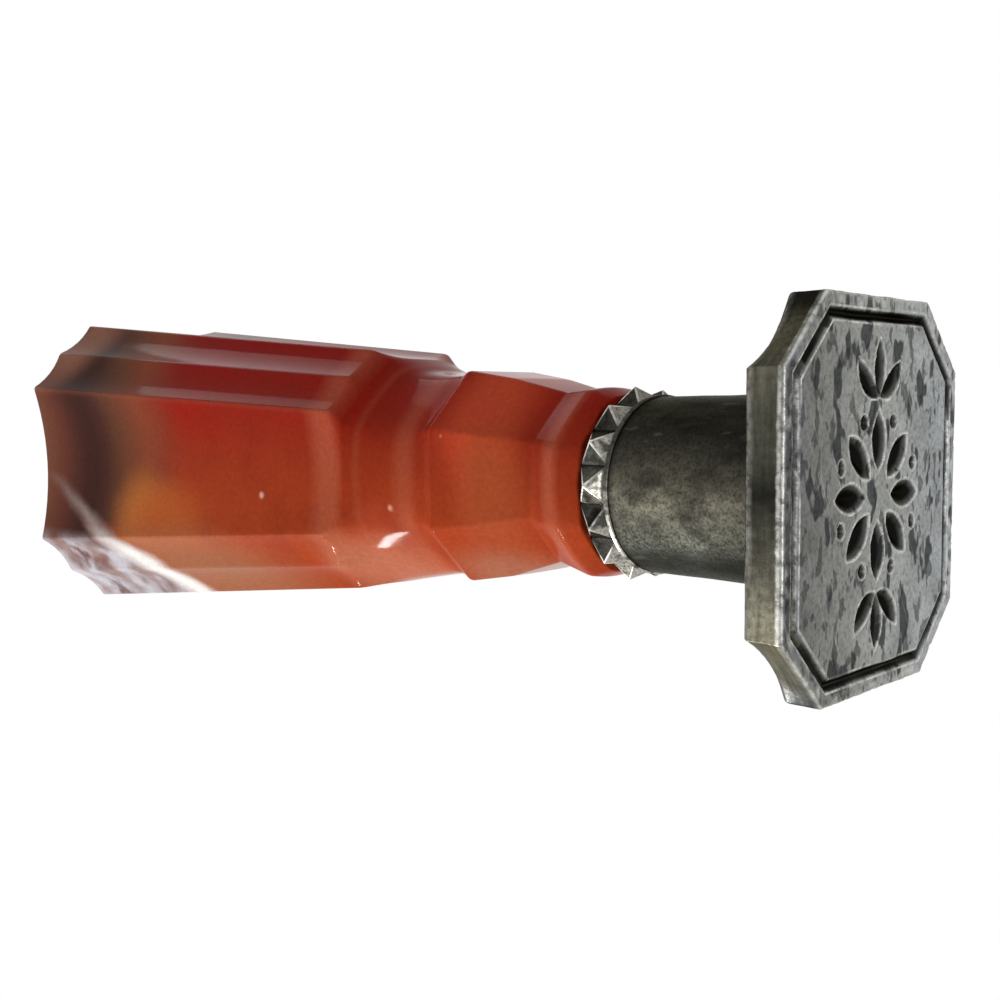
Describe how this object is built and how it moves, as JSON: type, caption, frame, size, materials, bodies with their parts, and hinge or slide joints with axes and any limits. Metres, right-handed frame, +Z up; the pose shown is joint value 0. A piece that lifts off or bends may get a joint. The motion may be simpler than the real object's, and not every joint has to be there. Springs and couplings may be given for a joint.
{
  "type": "desk seal",
  "caption": "Upright desk seal: flaring fluted stone handle in a silver ferrule with toothed collar, on a cut-cornered silver seal plate with an engraved face.",
  "frame": {"origin": "middle of the engraved seal face, which lies in the plane z = 0 and looks down", "axes": "+Z up the handle; X along the plate's long side; Y along its short side"},
  "size_m": [0.0278, 0.0266, 0.0833],
  "materials": {
    "carnelian": "polished, red-orange banded agate, slightly translucent",
    "aged_silver": "worn, satin with dark patina in the cuts",
    "oxidised_silver": "dark oxidised satin",
    "solder": "dull grey, smooth",
    "cement": "matt, coarse"
  },
  "bodies": {
    "root": {"seal_plate": "aged_silver", "solder_fillet": "solder", "ferrule_tube": "oxidised_silver", "toothed_collar": "aged_silver", "cement_fill": "cement", "stone_handle": "carnelian"}
  },
  "joints": []
}
